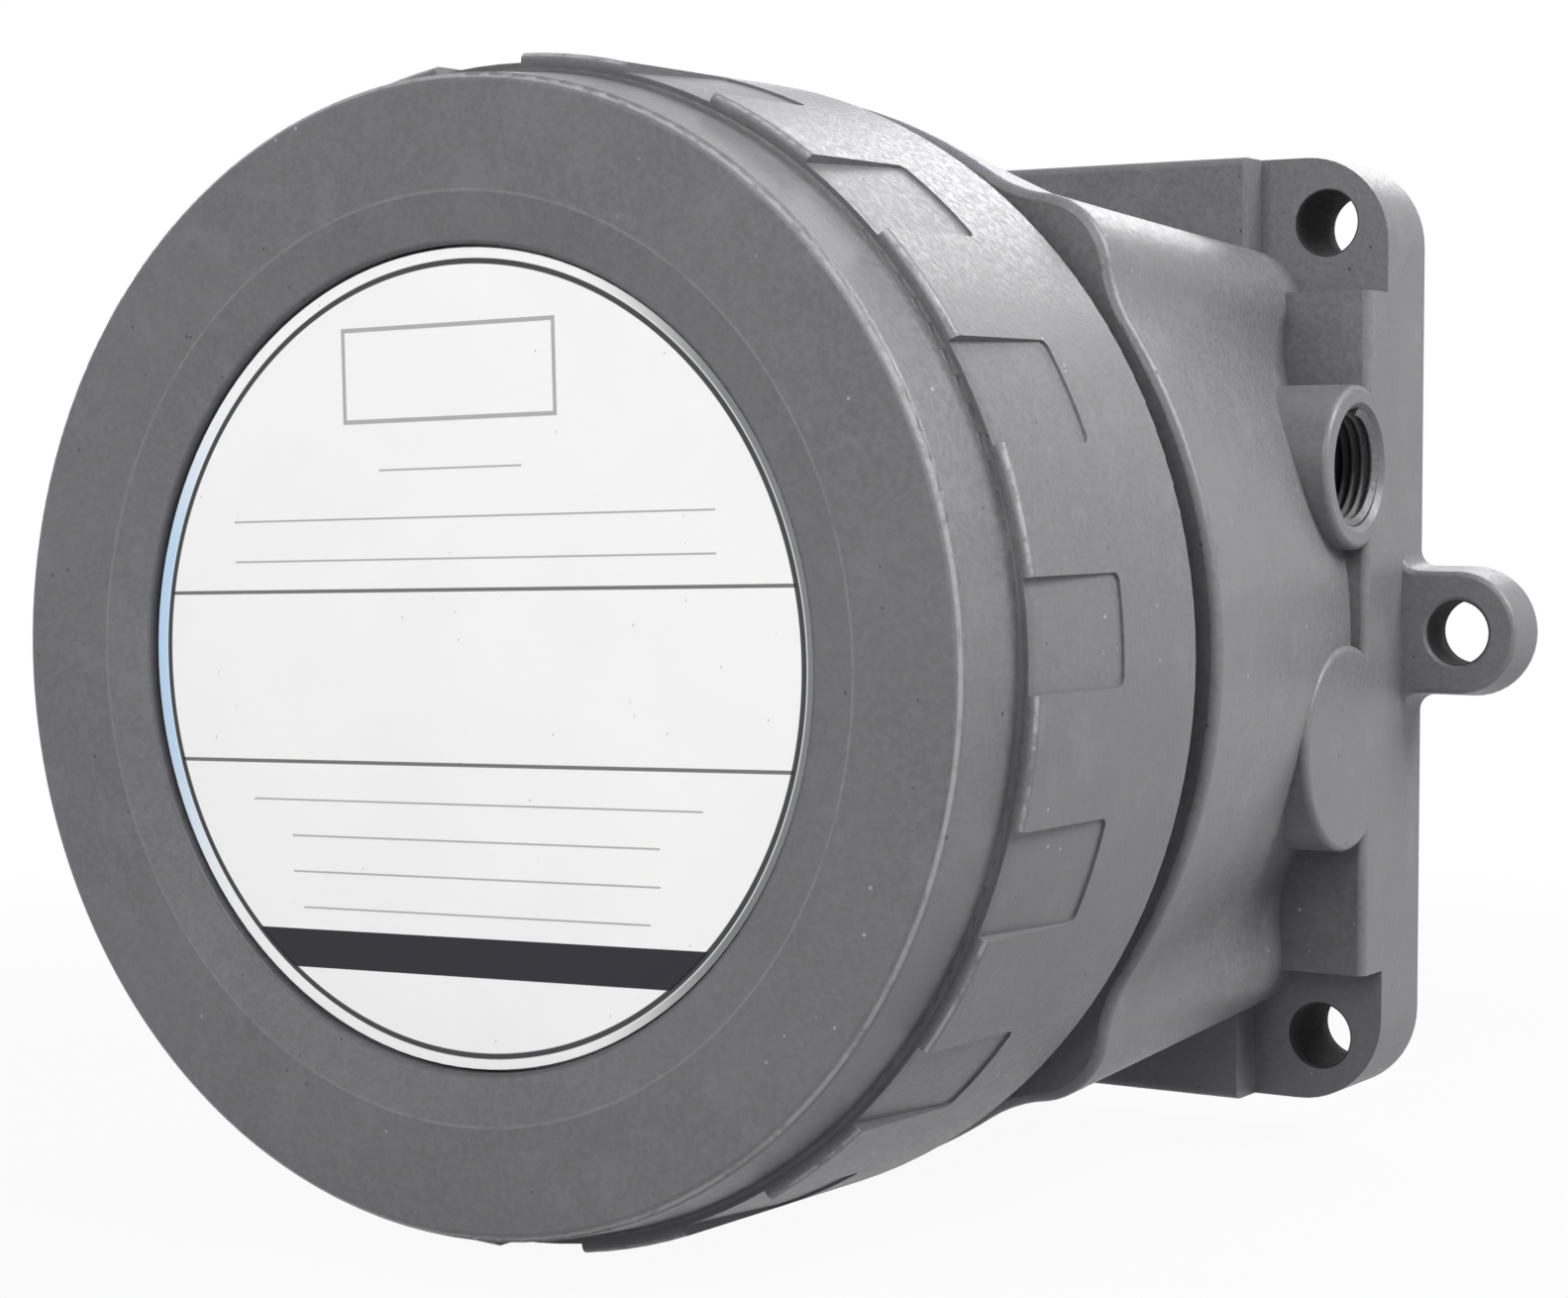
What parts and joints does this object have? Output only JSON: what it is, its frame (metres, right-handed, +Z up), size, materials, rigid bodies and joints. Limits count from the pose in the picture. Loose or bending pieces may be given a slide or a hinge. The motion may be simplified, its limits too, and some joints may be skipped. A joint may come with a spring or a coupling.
{
  "type": "differential pressure switch",
  "caption": "Differential pressure switch in a cast explosion-proof housing with a screwed cover, window and square flanged foot",
  "frame": {"origin": "on the cover's axis, at the centre of the flat back face of the foot", "axes": "+Y along the cover's axis into the wall, the window faces -Y, +Z up, the conduit port on the +X side"},
  "size_m": [0.2192, 0.1815, 0.1914],
  "materials": {
    "cast_grey": "grey satin cast",
    "glass": "clear",
    "plate_white": "white enamel",
    "gasket": "matt",
    "steel": "bright",
    "zinc_steel": "zinc plated",
    "capsule": "machined",
    "diaphragm": "matt",
    "brass": "machined",
    "spring_steel": "bright",
    "black_plastic": "matt",
    "red_plastic": "gloss",
    "terminal_plastic": "matt",
    "wire": "gloss",
    "copper": "tube"
  },
  "bodies": {
    "housing": {"housing": "cast_grey", "chassis_plate": "zinc_steel", "chassis_screws": "steel", "capsule_rear_shell": "capsule", "capsule_front_shell": "capsule", "capsule_screws": "steel", "diaphragm": "diaphragm", "guide_bush": "brass", "range_spring": "spring_steel", "spring_bridge": "zinc_steel", "bridge_screws": "steel", "snap_switch_body": "black_plastic", "switch_bracket": "zinc_steel", "switch_screws": "steel", "bracket_screws": "steel", "terminal_block": "terminal_plastic", "terminal_screws": "steel", "terminal_block_screws": "steel", "lead_wires": "wire", "scale_plate": "plate_white", "scale_screws": "steel", "high_pressure_tube": "copper", "low_pressure_tube": "copper", "ground_screw": "brass"},
    "cover_seal": {"cover_o_ring": "gasket"},
    "cover": {"cover": "cast_grey", "window_glass": "glass", "nameplate": "plate_white", "window_gasket": "gasket", "window_retaining_ring": "zinc_steel", "window_ring_screws": "steel"},
    "actuator": {"push_rod": "steel", "diaphragm_rear_plate": "capsule", "diaphragm_front_plate": "capsule", "actuator_plate": "zinc_steel"},
    "plunger": {"switch_plunger": "red_plastic"},
    "adjuster": {"adjuster_seat": "brass"},
    "set_point": {"set_point_screw": "steel"}
  },
  "joints": [
    {"name": "cover_travel", "type": "slide", "parent": "housing", "child": "cover_seal", "axis": [0, -1, 0], "range_m": [0, 0.012]},
    {"name": "cover_turn", "type": "hinge", "parent": "cover_seal", "child": "cover", "pos_m": [0, -0.1215, 0], "axis": [0, -1, 0], "range_deg": [0, 2160]},
    {"name": "diaphragm_stroke", "type": "slide", "parent": "housing", "child": "actuator", "axis": [0, -1, 0], "range_m": [0, 0.002], "stiffness_N_per_m": 4000, "springref_m": -0.003, "deforming": ["diaphragm", "range_spring"]},
    {"name": "plunger_travel", "type": "slide", "parent": "housing", "child": "plunger", "axis": [0, -1, 0], "range_m": [0, 0.002]},
    {"name": "set_point_travel", "type": "slide", "parent": "housing", "child": "adjuster", "axis": [0, 1, 0], "range_m": [0, 0.006], "deforming": ["range_spring"]},
    {"name": "set_point_turn", "type": "hinge", "parent": "adjuster", "child": "set_point", "pos_m": [0, -0.1115, 0], "axis": [0, 1, 0], "range_deg": [0, 2160]}
  ],
  "couplings": [
    {"joint": "cover_travel", "follows": "cover_turn", "m_per_rad": 0.00031831},
    {"joint": "plunger_travel", "follows": "diaphragm_stroke", "ratio": 1},
    {"joint": "set_point_turn", "follows": "set_point_travel", "rad_per_m": 6283.2}
  ]
}
